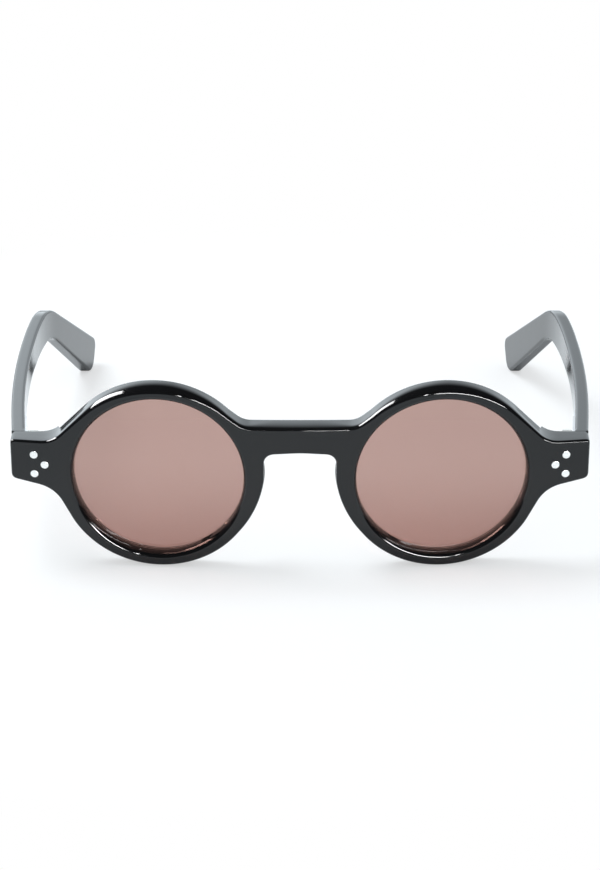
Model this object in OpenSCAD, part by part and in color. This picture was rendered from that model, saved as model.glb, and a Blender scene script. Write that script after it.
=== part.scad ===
/* [Front] */
// Overall width across the end pieces
front_w = 140; // [136:1:146]
// Thickness of the acetate at rims and bridge
front_t = 5; // [4.6:0.1:6]
// Radius of the curve that the front follows round the face
face_r = 474; // [380:2:700]
// Lean of the front towards its top edge, in degrees
lean = 4.5; // [2:0.5:8]

/* [Rims] */
// Distance between the centres of the two lenses
lens_distance = 68.8; // [67:0.2:71]
// Diameter of the lens openings
opening_d = 41.4; // [39:0.2:42.4]
// Width of the acetate round each lens
rim_w = 3.5; // [3.2:0.1:4]
// Radius of the rounded edge inside the front of each rim
lip_r = 0.95; // [0.4:0.05:1.2]
// Radius of the rounded brow along the top of each rim
brow_r = 1.5; // [0.8:0.1:2]
// How far the circle of the brow sits below the lens centre
brow_drop = 6.4; // [5.8:0.1:9]
// Radius of the rounded chin along the bottom of each rim
chin_r = 0.7; // [0.3:0.05:0.7]
// How far the circle of the chin sits above the lens centre
chin_rise = 1.6; // [1.5:0.1:4]

/* [Bridge] */
// Height of the bridge's top edge above the lens centres
bridge_rise = 14.2; // [12:0.2:16]
// Height of the bridge
bridge_h = 7.3; // [5.5:0.1:8]
// Width of the keyhole opening over the nose
keyhole_w = 17.4; // [16.4:0.2:18]
// Radius of the keyhole's upper corners
keyhole_r = 2.4; // [1.2:0.1:2.8]
// Length of the keyhole's straight sides
keyhole_h = 7.5; // [6:0.1:9]
// Rise of the bridge's lower edge from the keyhole's corners to the middle
bridge_arch = 0.5; // [0.1:0.1:1]
// Distance from the keyhole's side out to the fullest point of the nose side
nose_flare = 1.8; // [1.4:0.1:2.6]
// Distance of that point below the lens centres
nose_drop = 8.8; // [8:0.1:10]

/* [End pieces] */
// Height of the end pieces' top edge above the lens centres
end_rise = 8.6; // [7.6:0.1:9.4]
// Height of the end pieces at their outer ends
end_h = 10.3; // [10:0.1:11]
// Thickness of the end pieces at the hinges
end_t = 5.1; // [4.9:0.1:6.5]
// Length of the end pieces' lower edge, from the outer end to the rim
end_run = 10.4; // [9.6:0.1:11]
// Fall of the lower edge over that length
end_fall = 2.2; // [1.6:0.1:3]

/* [Lenses] */
// Thickness of the lenses
lens_t = 1.6; // [1.4:0.1:1.8]
// Radius of the lens curve
lens_curve_r = 130; // [88:1:200]
// Set-back of the lens edge behind the front of the rim
lens_inset = 2.6; // [2.2:0.1:3.2]
// Height of the bevel round the lens that sits in the groove
bevel_h = 0.6; // [0.4:0.05:0.8]

/* [Nose pads] */
// Length of the pads
pad_l = 18; // [14:0.5:20]
// Greatest radius of the pads
pad_r = 3.3; // [2.8:0.1:3.8]
// Tilt of the pads away from upright, in degrees
pad_tilt = 17; // [10:1:22]
// Distance from the nose side of the lens opening to the middle of a pad
pad_inset = 1.4; // [0.8:0.1:2]
// Distance from the lens centres down to the middle of a pad
pad_drop = 5; // [3:0.5:7]
// Distance from the back of the rims to the middle of a pad
pad_back = 0.4; // [0:0.1:1]

/* [Hinges] */
// Distance from the outer side of the frame to the hinge pin
pin_inset = 5; // [4.8:0.1:5.4]
// Radius of the hinge barrels
barrel_r = 1.5; // [1.3:0.05:1.55]
// Height of the hinge
hinge_h = 8.3; // [7.6:0.1:8.6]
// How far the hinge sits below the middle of the end piece
hinge_low = 0.3; // [0.1:0.1:0.5]
// Thickness of the hinge leaves
leaf_t = 1; // [0.8:0.05:1.2]
// How far the leaves are let into the acetate
leaf_sink = 0.5; // [0.3:0.05:0.7]
// Length of the leaf on the temple
temple_leaf_l = 12; // [10:0.5:15]
// Height of the leaf on the temple
temple_leaf_h = 6.2; // [6:0.1:6.6]
// Length of the leaf on the front, inboard of the pin
front_leaf_l = 6; // [5.4:0.1:6.4]
// Radius of the screw's shank
screw_r = 0.7; // [0.6:0.05:0.8]
// Radius of the screw's head
screw_head_r = 1.2; // [1.1:0.05:1.3]

/* [Rivets] */
// Diameter of the rivet heads
rivet_d = 1.95; // [1.6:0.05:2.1]
// Radius of the rivet shanks
rivet_shank_r = 0.6; // [0.5:0.05:0.7]
// Distance between the front's two outboard rivets, one above the other
rivet_pitch = 5.1; // [4.5:0.1:5.4]
// Distance between the temple's two rivets that sit one above the other
temple_pitch = 4; // [3.6:0.1:4.2]
// Share of the way from the lens to the temple at which the front's two outboard rivets sit
rivet_outer = 0.77; // [0.72:0.01:0.8]
// Share of that way at which the front's third rivet sits
rivet_inner = 0.54; // [0.48:0.01:0.6]
// Distance along the temple from its pair of rivets to the third one
rivet_step = 2.6; // [2.2:0.1:3]
// How far the three rivets sit below the middle of the end piece
rivet_low = 1; // [0.7:0.1:1.3]
// Thickness of the rivet heads
rivet_head_t = 0.5; // [0.4:0.05:0.8]

/* [Temples] */
// Thickness of the temples
temple_t = 3.3; // [3:0.1:3.6]
// Distance from the end piece to the point where the temple turns down
bend_l = 86.5; // [80:0.5:95]
// Rise of the temple's top edge from the hinge to the bend
temple_rise = 1.2; // [0.4:0.1:1.8]
// Height of the temple in front of the bend
bend_h = 9; // [8.4:0.1:9.6]
// How far the lower edge rises above that along the shaft
waist_lift = 1.6; // [1:0.1:2]
// How far the lower edge turns down behind the upper one
bend_lag = 2.1; // [1.4:0.1:3]
// Angle of the ear piece's upper edge below the shaft, in degrees
drop = 28.7; // [26:0.1:32]
// How much steeper the ear piece's lower edge runs, in degrees
taper = 3.8; // [3:0.1:4.5]
// Outward bow of the temple's outline
bow = 3.6; // [2.4:0.1:4.6]
// Inward turn of the ear piece, in degrees
tuck = 10; // [6:0.5:12]

/* [Cores] */
// Thickness of the steel core inside each temple
core_t = 1.1; // [0.8:0.1:1.4]
// Height of the steel core
core_h = 2.4; // [1.6:0.1:3]

/* [Clearances] */
// Gap between the temple's end and the end piece, both closed flat
seat_gap = 0.1; // [0.05:0.01:0.2]
// Gap between a turning barrel and what it turns against
turn_gap = 0.1; // [0.08:0.01:0.2]
// Radial gap between the screw and the barrels
pin_gap = 0.05; // [0.02:0.01:0.08]
// Gap between neighbouring barrels
barrel_gap = 0.08; // [0.05:0.01:0.15]
// Gap round leaves, rivets, lenses and cores in the acetate
set_gap = 0.03; // [0.01:0.01:0.05]

/* [Hidden] */
$fn = 64;
acetate = "#1c1d1f";
tint = "#b98b82";
steel = "#c9ccd0";
wire = "#9a9da1";
// Segments in each rounded corner of an outline
arc_n = 16;
// Fineness of the two curves that the whole front follows
wide_fn = 2400;
// Anything longer than the part, for cutting blocks
far = 120;
// How far a cut starts in front of the face that it opens
over = 6;
// How far an outline that grows out of a rim reaches into it
join = 0.05;
// Share of a rounding's radius by which its arc runs past the surfaces that it meets
edge_reach = 0.08;
// How far the temple's rivets end short of the leaf's surface
rivet_short = 0.1;
// The front is drawn upright: x to the side, y back from the bridge, z up from the lowest edge of the rims
half_w = front_w / 2;
lens_x = lens_distance / 2;
opening_r = opening_d / 2;
rim_r = opening_r + rim_w;
lens_z = rim_r;
function sag(x) = face_r - sqrt(face_r * face_r - x * x);
function turn(x) = asin(x / face_r);
// A point just inside the rim's outer edge, at an angle from the outer side
function on_rim(a) = [lens_x, lens_z] + (rim_r - join) * [cos(a), sin(a)];
bridge_top = lens_z + bridge_rise;
bridge_low = bridge_top - bridge_h;
end_top = lens_z + end_rise;
end_low = end_top - end_h;
block_x = lens_x + rim_r - 0.4;
rivet_z = (end_top + end_low) / 2 - rivet_low;
// The frame lies on the lower edge of its rims and on its temple tips
chin_depth = chin_r * (1 - cos(asin(1 - edge_reach)) - edge_reach);
lift = -(sag(lens_x) + chin_depth) * sin(lean);
// Hinge places in the standing frame, y back from the foot of the bridge
pin_x = half_w - pin_inset;
back_y = sag(pin_x) * cos(lean) - rivet_z * sin(lean) + end_t;
function seat_z(z) = z / cos(lean) + back_y * tan(lean) + lift;
butt_y = back_y + seat_gap;
butt_top = seat_z(end_top);
butt_low = seat_z(end_low);
hinge_z = (butt_top + butt_low) / 2 - hinge_low;
leaf_back = back_y - leaf_sink + leaf_t;
pin_y = leaf_back + barrel_r + turn_gap;
knuckle_h = hinge_h / 5;
// The front's leaf and webs end just inside the outer side of the barrels
web_x = barrel_r - 2 * turn_gap;
// The temple's leaf starts just clear of the barrels
leaf_start = barrel_r + 2 * turn_gap;
// Temple outline from above: where its outer face runs, widest before the middle of the shaft
wide_y = butt_y + bend_l * 0.43;
tuck_x = half_w + bow * 0.6;
tuck_y = butt_y + bend_l * 0.92;
plan = [
    [half_w, butt_y],
    [half_w + bow, wide_y],
    [tuck_x, tuck_y],
    [tuck_x - far / 2 * tan(tuck), tuck_y + far / 2]
];
// Each of the two arcs takes up its own share of the length between the corners
plan_r = [0, corner_r(plan, 1, (tuck_y - wide_y) * 0.62), corner_r(plan, 2, (tuck_y - wide_y) * 0.3), 0];
splay = atan((plan[1][0] - plan[0][0]) / (plan[1][1] - plan[0][1]));
inner_x = half_w - temple_t / cos(splay) + (pin_y - butt_y) * tan(splay);
// The front's rivets spread over the end piece between the lens's groove and the temple
groove_x = lens_x + opening_r + bevel_h;
function rivet_x(share) = groove_x + share * (inner_x - groove_x);
// Temple outline from the side, thinnest at the waist and deeper at the bend
bend_top = [butt_y + bend_l, butt_top + temple_rise];
waist_y = butt_y + bend_l * 0.53;
waist = [waist_y, bend_top[1] - bend_h + waist_lift];
bend_low = [bend_top[0] + bend_lag, bend_top[1] - bend_h];
tip_low_r = 4;
tip_top_r = 3;
bend_top_r = 30;
bend_low_r = 24;
waist_r = 200;
ear = [cos(drop), -sin(drop)];
ear_up = [sin(drop), cos(drop)];
// The lower corner of the tip is rounded, and its arc touches the table
low_angle = drop + taper;
tip_low_z = -tip_low_r * ((cos(drop) + sin(low_angle)) / cos(taper) - 1);
tip_low = [bend_low[0] + (bend_low[1] - tip_low_z) / tan(low_angle), tip_low_z];
tip_h = (bend_top - tip_low) * ear_up;
tip_top = tip_low + tip_h * ear_up;
side = [[butt_y, butt_low], [butt_y, butt_top], bend_top, tip_top, tip_low, bend_low, waist];
side_r = [0, 0, bend_top_r, tip_top_r, tip_low_r, bend_low_r, waist_r];
// The origin lies on the table, half way between the front and the temple tips
front_y = -(tip_top[0] - tip_top_r * (cos(drop) + sin(drop) - 1) - bridge_top * sin(lean)) / 2;

function unit(v) = v / norm(v);
function direction(v) = atan2(v[1], v[0]);
// Radius of the arc that leaves the corner i of a path at a distance of reach
function corner_r(path, i, reach) =
    reach * tan(acos(unit(path[i - 1] - path[i]) * unit(path[i + 1] - path[i])) / 2);
function short_way(a) = a > 180 ? a - 360 : a < -180 ? a + 360 : a;
// Points of one corner of an outline, rounded to the radius r
function corner(before, at, after, r) =
    r == 0 ? [at] :
    let (
        u = unit(before - at),
        w = unit(after - at),
        half = acos(u * w) / 2,
        centre = at + unit(u + w) * r / sin(half),
        from = direction(at + u * r / tan(half) - centre),
        to = direction(at + w * r / tan(half) - centre),
        sweep = short_way(to - from)
    )
    [for (i = [0 : arc_n]) centre + r * [cos(from + sweep * i / arc_n), sin(from + sweep * i / arc_n)]];
// A closed outline with rounded corners
function rounded(points, radii) =
    let (n = len(points))
    [for (i = [0 : n - 1]) each corner(points[(i + n - 1) % n], points[i], points[(i + 1) % n], radii[i])];
// An open path with rounded corners
function rounded_path(points, radii) =
    let (n = len(points))
    [
        points[0],
        for (i = [1 : n - 2]) each corner(points[i - 1], points[i], points[i + 1], radii[i]),
        points[n - 1]
    ];
// The temple's outer face moved inwards by d, its arcs kept parallel
function inset_plan(d) =
    let (
        n = len(plan),
        step = [for (i = [0 : n - 2]) unit(plan[i + 1] - plan[i])],
        side_step = [for (s = step) [-s[1], s[0]]]
    )
    [
        plan[0] - [d / cos(splay), 0],
        for (i = [1 : n - 2])
            plan[i] + d * unit(side_step[i - 1] + side_step[i])
                / (unit(side_step[i - 1] + side_step[i]) * side_step[i]),
        plan[n - 1] + d * side_step[n - 2]
    ];
function reversed(list) = [for (i = [len(list) - 1 : -1 : 0]) list[i]];

// Puts a piece of one side in its place
module place(name) {
    translate([0, front_y, 0]) on_side(name) children();
}

// Leans the upright front as it stands on the table
module lean_up() {
    translate([0, 0, lift]) rotate([lean, 0, 0]) children();
}

// Everything is drawn for the wearer's left, which is +X
module on_side(name) {
    if (name == "left") children();
    else mirror([1, 0, 0]) children();
}

module both_sides() {
    for (name = ["left", "right"]) on_side(name) children();
}

// An outline of the front, as thick as needed
module slab(depth = far / 4) {
    translate([0, depth, 0]) rotate([90, 0, 0]) linear_extrude(depth + over) children();
}

// Everything behind a curved surface that lies d behind the front of the frame
module behind_face(d = 0) {
    translate([0, face_r, -far / 2]) cylinder(h = 2 * far, r = face_r - d, $fn = wide_fn);
}

// Everything in front of the upright plane y, in the leaning front's own frame
module before_plane(y) {
    rotate([-lean, 0, 0]) translate([-far, y - far, -far / 2 - lift]) cube([2 * far, far, far * 1.5]);
}

// Places a round piece on a lens axis, its own +Z pointing back
module on_lens_axis() {
    translate([lens_x, sag(lens_x), lens_z]) rotate([0, 0, turn(lens_x)]) rotate([-90, 0, 0]) children();
}

// The bridge with both nose sides, reaching into the rims
module bridge_outline() {
    half_key = keyhole_w / 2;
    shoulder = on_rim(135);
    shoulder_run = 3.7;
    shoulder_r = 5;
    nose_r = 8;
    flare_r = 28;
    half = [
        [shoulder[0] - shoulder_run, bridge_top], shoulder, [lens_x - rim_r / 2, lens_z], on_rim(218),
        [half_key + nose_flare, lens_z - nose_drop],
        [half_key, bridge_low - keyhole_h], [half_key, bridge_low]
    ];
    half_r = [shoulder_r, 0, 0, 0, flare_r, nose_r, keyhole_r];
    polygon(rounded(
        concat(half, [[0, bridge_low + bridge_arch]], [for (p = reversed(half)) [-p[0], p[1]]]),
        concat(half_r, [0], reversed(half_r))
    ));
}

module end_outline() {
    shoulder = on_rim(44);
    shoulder_run = 8;
    inner_r = 4;
    top_r = 0.4;
    low_r = 1.2;
    polygon(rounded(
        [
            [lens_x + rim_r / 2, lens_z], shoulder, [shoulder[0] + shoulder_run, end_top], [half_w, end_top],
            [half_w, end_low], [half_w - end_run, end_low - end_fall], on_rim(-31)
        ],
        [0, 0, inner_r, top_r, low_r, inner_r, 0]
    ));
}

// The side of the rim, outboard of which the end piece has a flat back for the hinge
module beside_rim(top) {
    translate([block_x, -far]) square([far, far + top]);
}

// What is taken out of a rim: the opening with its rounded lip and the groove for the lens
module opening_cut() {
    groove_z = lens_inset + lens_t / 2;
    rotate_extrude($fn = 180) polygon(concat(
        [[0, -over], [opening_r + lip_r, -over]],
        [for (a = [0 : 15 : 90]) [opening_r + lip_r * (1 - sin(a)), lip_r * (1 - cos(a) - edge_reach)]],
        [
            [opening_r, groove_z - bevel_h], [opening_r + bevel_h, groove_z],
            [opening_r, groove_z + bevel_h], [opening_r, far / 8], [0, far / 8]
        ]
    ));
}

// What rounds off the top or bottom of a rim, deepest in line with the lens centre and fading to both sides
module edge_cut(edge_r, shift) {
    r = rim_r + edge_r * edge_reach + shift;
    translate([0, shift, 0]) rotate_extrude($fn = 180) polygon(concat(
        [[r + over, edge_r * (1 - edge_reach)], [r + over, -over], [r - edge_r, -over]],
        [for (a = [0 : 15 : 90]) [r - edge_r * (1 - sin(a)), edge_r * (1 - cos(a) - edge_reach)]]
    ));
}

// A rivet's place on the front, its own +Z pointing back from the curved face
module at_front_rivets() {
    outer_x = rivet_x(rivet_outer);
    inner = [rivet_x(rivet_inner), 0];
    for (p = [[outer_x, rivet_pitch / 2], [outer_x, -rivet_pitch / 2], inner])
        translate([p[0], sag(p[0]), rivet_z + p[1]])
        rotate([0, 0, turn(p[0])]) rotate([-90, 0, 0]) children();
}

// A rivet that starts on the face, or with a gap the hole for it, open to the front
module rivet(gap, length) {
    start = gap > 0 ? -over : 0;
    translate([0, 0, start]) cylinder(h = rivet_head_t + gap - start, r = rivet_d / 2 + gap);
    cylinder(h = length, r = rivet_shank_r + gap);
}

// The rivets of a front's end piece, cut off level with the back of the leaf
module front_rivet_set(gap) {
    lean_up() intersection() {
        at_front_rivets() rivet(gap, far / 8);
        before_plane(leaf_back);
    }
}

// The leaf that is let into the back of the end piece
module front_leaf(gap = 0) {
    translate([
        pin_x - front_leaf_l - gap,
        back_y - leaf_sink - gap,
        hinge_z - hinge_h / 2 - gap
    ])
        cube([front_leaf_l + web_x + 2 * gap, leaf_t + gap, hinge_h + 2 * gap]);
}

module front_frame() {
    color(acetate) translate([0, front_y, 0]) difference() {
        lean_up() difference() {
            union() {
                intersection() {
                    difference() {
                        behind_face();
                        behind_face(front_t);
                    }
                    union() {
                        slab() bridge_outline();
                        both_sides() slab() translate([lens_x, lens_z]) circle(r = rim_r, $fn = 180);
                        both_sides() slab() difference() {
                            end_outline();
                            beside_rim(end_top + join);
                        }
                    }
                }
                intersection() {
                    behind_face();
                    before_plane(back_y);
                    both_sides() slab() intersection() {
                        end_outline();
                        beside_rim(end_top + join);
                    }
                }
            }
            both_sides() on_lens_axis() {
                opening_cut();
                edge_cut(brow_r, brow_drop);
                rotate([0, 0, 180]) edge_cut(chin_r, chin_rise);
            }
        }
        both_sides() {
            front_rivet_set(set_gap);
            front_leaf(set_gap);
        }
    }
}

module lens(name) {
    edge_r = opening_r - set_gap;
    ridge_r = bevel_h - set_gap;
    overlap = 1;
    crown = lens_curve_r - sqrt(lens_curve_r * lens_curve_r - edge_r * edge_r);
    color(tint, 0.75) place(name) lean_up() on_lens_axis() translate([0, 0, lens_inset]) {
        intersection() {
            difference() {
                translate([0, 0, lens_curve_r - crown]) sphere(r = lens_curve_r, $fn = 360);
                translate([0, 0, lens_curve_r - crown + lens_t]) sphere(r = lens_curve_r, $fn = 360);
            }
            translate([0, 0, -far / 8]) cylinder(h = far / 4, r = edge_r, $fn = 180);
        }
        difference() {
            rotate_extrude($fn = 180) polygon([
                [edge_r - overlap, lens_t / 2 - ridge_r], [edge_r, lens_t / 2 - ridge_r],
                [edge_r + ridge_r, lens_t / 2], [edge_r, lens_t / 2 + ridge_r],
                [edge_r - overlap, lens_t / 2 + ridge_r]
            ]);
            translate([0, 0, -far / 8]) cylinder(h = far / 4, r = edge_r - overlap / 2, $fn = 180);
        }
    }
}

// A spindle that stands along the nose side of the rim, with the rim itself cut out of it
module nose_pad(name) {
    bulge = (pad_l * pad_l / 4 - pad_r * pad_r) / (2 * pad_r);
    arc_r = pad_r + bulge;
    span = atan(pad_l / 2 / bulge);
    color(acetate) place(name) lean_up() difference() {
        translate([lens_x - opening_r - pad_inset, front_t + pad_back, lens_z - pad_drop])
            rotate([0, -pad_tilt, 0])
            rotate_extrude() polygon(concat(
                [[0, -pad_l / 2]],
                [for (i = [-7 : 7]) [arc_r * cos(span * i / 8) - bulge, arc_r * sin(span * i / 8)]],
                [[0, pad_l / 2]]
            ));
        difference() {
            behind_face(-over);
            behind_face(front_t);
        }
        on_lens_axis() translate([0, 0, -over]) cylinder(h = far / 4, r = opening_r, $fn = 180);
    }
}

// One barrel of a hinge, counted from the lowest, and the web that joins it to its leaf
module knuckle(k) {
    low_gap = k > 0 ? barrel_gap / 2 : 0;
    high_gap = k < 4 ? barrel_gap / 2 : 0;
    translate([0, 0, hinge_z - hinge_h / 2 + k * knuckle_h + low_gap])
        linear_extrude(knuckle_h - low_gap - high_gap) {
            translate([pin_x, pin_y]) circle(r = barrel_r);
            children();
        }
}

module pin_bore() {
    translate([pin_x, pin_y, hinge_z - hinge_h]) cylinder(h = 2 * hinge_h, r = screw_r + pin_gap);
}

module front_hinge(name) {
    color(steel) place(name) difference() {
        union() {
            front_leaf();
            for (k = [0, 2, 4]) knuckle(k)
                translate([pin_x - barrel_r, leaf_back - leaf_t / 2])
                    square([barrel_r + web_x, pin_y - leaf_back + leaf_t / 2]);
        }
        pin_bore();
        front_rivet_set(set_gap);
    }
}

module front_rivets(name) {
    color(steel) place(name) front_rivet_set(0);
}

module hinge_screw(name) {
    head_t = 0.6;
    slot_w = 0.3;
    top = hinge_h / 2;
    color(steel) place(name) translate([pin_x, pin_y, hinge_z]) difference() {
        union() {
            translate([0, 0, -top]) cylinder(h = hinge_h + head_t, r = screw_r);
            translate([0, 0, top]) cylinder(h = head_t, r = screw_head_r);
        }
        translate([-screw_head_r * 2, -slot_w / 2, top + head_t / 2])
            cube([screw_head_r * 4, slot_w, head_t]);
    }
}

// The wall between two lines that run d1 and d2 inside the temple's outer face
module temple_wall(d1, d2) {
    linear_extrude(far) polygon(concat(
        rounded_path(inset_plan(d1), plan_r - [for (r = plan_r) r > 0 ? d1 : 0]),
        reversed(rounded_path(inset_plan(d2), plan_r - [for (r = plan_r) r > 0 ? d2 : 0]))
    ));
}

// The temple seen from the side, as wide as needed
module temple_side() {
    rotate([90, 0, 90]) linear_extrude(far) polygon(rounded(side, side_r));
}

// The core's path along the middle of the temple, as a band of height h
module core_band(h) {
    start = [butt_y + temple_leaf_l + tip_h, hinge_z];
    dip = (bend_top + bend_low) / 2;
    end = (tip_low + tip_top) / 2 - tip_h * ear;
    along = [(dip - end)[1], (end - dip)[0]] / norm(end - dip);
    half = [0, h / 2];
    radii = [0, bend_top_r, 0];
    rotate([90, 0, 90]) linear_extrude(far) polygon(concat(
        rounded_path([start + half, dip + half, end + along * h / 2], radii),
        reversed(rounded_path([start - half, dip - half, end - along * h / 2], radii))
    ));
}

module core_shape(gap) {
    intersection() {
        temple_wall((temple_t - core_t) / 2 - gap, (temple_t + core_t) / 2 + gap);
        core_band(core_h + 2 * gap);
    }
}

// Frame of the temple's inner face at the hinge: x across it, y along it, from the pin
module on_inner_face() {
    translate([inner_x, pin_y, hinge_z]) rotate([0, 0, -splay]) children();
}

module temple_leaf(gap = 0) {
    on_inner_face() translate([leaf_sink - leaf_t, leaf_start - gap, -temple_leaf_h / 2 - gap])
        cube([leaf_t + gap, temple_leaf_l + 2 * gap, temple_leaf_h + 2 * gap]);
}

module at_temple_rivets() {
    first = leaf_start + temple_leaf_l * 0.35;
    places = [[first, temple_pitch / 2], [first, -temple_pitch / 2], [first + rivet_step, 0]];
    on_inner_face() for (p = places) translate([temple_t, p[0], p[1]]) rotate([0, -90, 0]) children();
}

module temple_rivet_set(gap) {
    at_temple_rivets() rivet(gap, temple_t + leaf_t - leaf_sink - rivet_short);
}

module temple(name) {
    color(acetate) place(name) difference() {
        intersection() {
            temple_wall(0, temple_t);
            temple_side();
        }
        core_shape(set_gap);
        temple_leaf(set_gap);
        temple_rivet_set(set_gap);
    }
}

module temple_core(name) {
    color(wire) place(name) core_shape(0);
}

module temple_hinge(name) {
    color(steel) place(name) difference() {
        union() {
            temple_leaf();
            for (k = [1, 3]) knuckle(k)
                translate([inner_x, pin_y]) rotate(-splay) translate([pin_x - inner_x, 0])
                    square([inner_x - pin_x - turn_gap, leaf_start + barrel_r]);
        }
        pin_bore();
        temple_rivet_set(set_gap);
    }
}

module temple_rivets(name) {
    color(steel) place(name) temple_rivet_set(0);
}

front_frame();
lens("left");  // lens_left
lens("right");  // lens_right
nose_pad("left");  // nose_pad_left
nose_pad("right");  // nose_pad_right
front_hinge("left");  // front_hinge_left
front_hinge("right");  // front_hinge_right
front_rivets("left");  // front_rivets_left
front_rivets("right");  // front_rivets_right
hinge_screw("left");  // hinge_screw_left
hinge_screw("right");  // hinge_screw_right
temple("left");  // temple_left
temple("right");  // temple_right
temple_core("left");  // temple_core_left
temple_core("right");  // temple_core_right
temple_hinge("left");  // temple_hinge_left
temple_hinge("right");  // temple_hinge_right
temple_rivets("left");  // temple_rivets_left
temple_rivets("right");  // temple_rivets_right
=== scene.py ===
# %% [markdown]
# Round sunglasses in black acetate
#
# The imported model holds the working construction: a front, two lenses, two nose
# pads, two temples with steel cores, and five-barrel hinges with their rivets.
# This script gives it looks. Polished acetate is judged by its reflections, so
# the front, the temples and the pads are rebuilt here as fine meshes with softly
# rounded edges, and so are the lenses and the rivet heads. Every metal and plastic
# finish is a procedural material.

# %% Load the frame
import math

import bpy
import numpy as np
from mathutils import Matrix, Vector
from mathutils.geometry import delaunay_2d_cdt


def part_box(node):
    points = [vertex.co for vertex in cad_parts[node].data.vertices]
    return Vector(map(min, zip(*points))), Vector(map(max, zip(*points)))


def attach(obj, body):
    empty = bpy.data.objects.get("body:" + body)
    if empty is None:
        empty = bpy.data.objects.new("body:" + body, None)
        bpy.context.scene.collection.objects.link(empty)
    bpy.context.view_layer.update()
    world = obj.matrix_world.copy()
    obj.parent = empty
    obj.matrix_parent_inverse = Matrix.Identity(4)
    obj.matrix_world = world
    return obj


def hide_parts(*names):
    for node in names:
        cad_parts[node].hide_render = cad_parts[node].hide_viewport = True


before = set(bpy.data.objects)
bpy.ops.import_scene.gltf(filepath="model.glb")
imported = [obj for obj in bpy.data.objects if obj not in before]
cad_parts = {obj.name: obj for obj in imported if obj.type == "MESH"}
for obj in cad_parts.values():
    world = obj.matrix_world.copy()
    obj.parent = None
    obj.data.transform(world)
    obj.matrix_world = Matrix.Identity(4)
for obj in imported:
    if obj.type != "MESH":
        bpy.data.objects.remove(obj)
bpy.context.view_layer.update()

# %% [markdown]
# The sizes that several pieces share are kept in one place, in millimetres, with
# the same meaning as in the construction. Each one could be read off the packed
# meshes instead, but a named size says what it is, and a curve that is built from
# it stays smooth. Only the place of the front is taken from the frame. A size that
# one piece alone needs comes with that piece.

# %% Shared sizes in millimetres
MM = 0.001
SIDES = ((1, "left"), (-1, "right"))   # the wearer's left is +X
FACE_R = 474.0                         # curve of the front round the face, seen from above
LEAN = math.radians(4.5)               # the top of the front leans back
FRONT_T = 5.0
LENS_X = 34.4                          # half the distance between the lens centres
OPENING_R = 20.7                       # the round opening that holds a lens
RIM_R = 24.2
LENS_Z = RIM_R                         # the upright front stands on the lowest edge of its rims
BRIDGE_TOP = LENS_Z + 14.2
BRIDGE_LOW = BRIDGE_TOP - 7.3
END_TOP = LENS_Z + 8.6                 # the end pieces carry the hinges
END_LOW = END_TOP - 10.3
END_T = 5.1

front_box_low, front_box_high = (1000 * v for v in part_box("front_frame"))
HALF_W = front_box_high.x
FRONT_Y = front_box_low.y + BRIDGE_TOP * math.sin(LEAN)
print("half width", round(HALF_W, 2), "foot of the front at y", round(FRONT_Y, 2))

# %% [markdown]
# The front is drawn upright, as it lies on the bench, and on the table it leans
# back and stands on the lower edges of its rims. Every piece could be turned by
# hand, but one function for all of them keeps lenses, pads and rivets in their
# places when the lean changes.

# %% From the upright front to the table
PIN_INSET = 5.0
RIVET_LOW = 1.0                        # the rivets sit below the middle of the end piece
CHIN_DEPTH = 0.37                      # how far behind the face the rims touch the table
PIN_X = HALF_W - PIN_INSET
RIVET_Z = (END_TOP + END_LOW) / 2 - RIVET_LOW


def sag(x):
    """How far the face of the front falls back at x."""
    return FACE_R - np.sqrt(FACE_R ** 2 - np.square(x))


BACK_Y = float(sag(PIN_X)) * math.cos(LEAN) - RIVET_Z * math.sin(LEAN) + END_T
LIFT = -(float(sag(LENS_X)) + CHIN_DEPTH) * math.sin(LEAN)


def standing(points):
    """Upright front coordinates in mm to the standing frame in metres."""
    x, y, z = np.asarray(points, float).T
    return MM * np.column_stack([
        x,
        FRONT_Y + y * math.cos(LEAN) - z * math.sin(LEAN),
        LIFT + y * math.sin(LEAN) + z * math.cos(LEAN),
    ])


print("back of the end pieces", round(BACK_Y, 2), "mm behind the foot of the front")

# %% [markdown]
# The camera stands where the photograph was taken from: in front of the glasses,
# a long lens looking 22 degrees down. It comes first, so that every later step is
# judged through it. The standard view shows a material's colour as it is written.

# %% Camera
CAMERA_DISTANCE = 700.0
CAMERA_ELEVATION = math.radians(22)
AIM_AHEAD, AIM_Z = 2.89, 36.5
FOCAL_PIXELS = 2930.0
IMAGE_HEIGHT = 870.0
SENSOR = 36.0

aim = Vector((0, FRONT_Y - AIM_AHEAD, AIM_Z)) * MM
away = Vector((0, -math.cos(CAMERA_ELEVATION), math.sin(CAMERA_ELEVATION)))
camera = bpy.data.objects.new("camera", bpy.data.cameras.new("camera"))
camera.data.lens = FOCAL_PIXELS * SENSOR / IMAGE_HEIGHT
camera.data.clip_start = 0.01
camera.location = aim + CAMERA_DISTANCE * MM * away
camera.rotation_euler = (math.pi / 2 - CAMERA_ELEVATION, 0, 0)
bpy.context.scene.collection.objects.link(camera)
bpy.context.scene.camera = camera
bpy.context.scene.view_settings.view_transform = "Standard"
print("camera lens", round(camera.data.lens, 1), "mm")

# %% [markdown]
# An acetate front is sawn out of a sheet and then tumbled for days, so its outline
# is crisp and its edges are soft. It could be a boolean model with a bevel, but a
# bevel breaks where arcs meet at shallow angles. Here the outline is one closed
# line of evenly spaced points, and the edges are rings that step inwards from it.
# These helpers turn a few corners into such a line.

# %% From corners to an even line
ARC_STEP = 2.0                         # degrees between the points of an arc
CORNER_STEPS = 12


def unit(v):
    """The vector of length 1 in the direction of v."""
    return np.asarray(v, float) / np.linalg.norm(v)


def on_circle(centre, radius, angle):
    """The point of a circle at an angle in radians."""
    return np.asarray(centre) + radius * np.array([math.cos(angle), math.sin(angle)])


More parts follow.
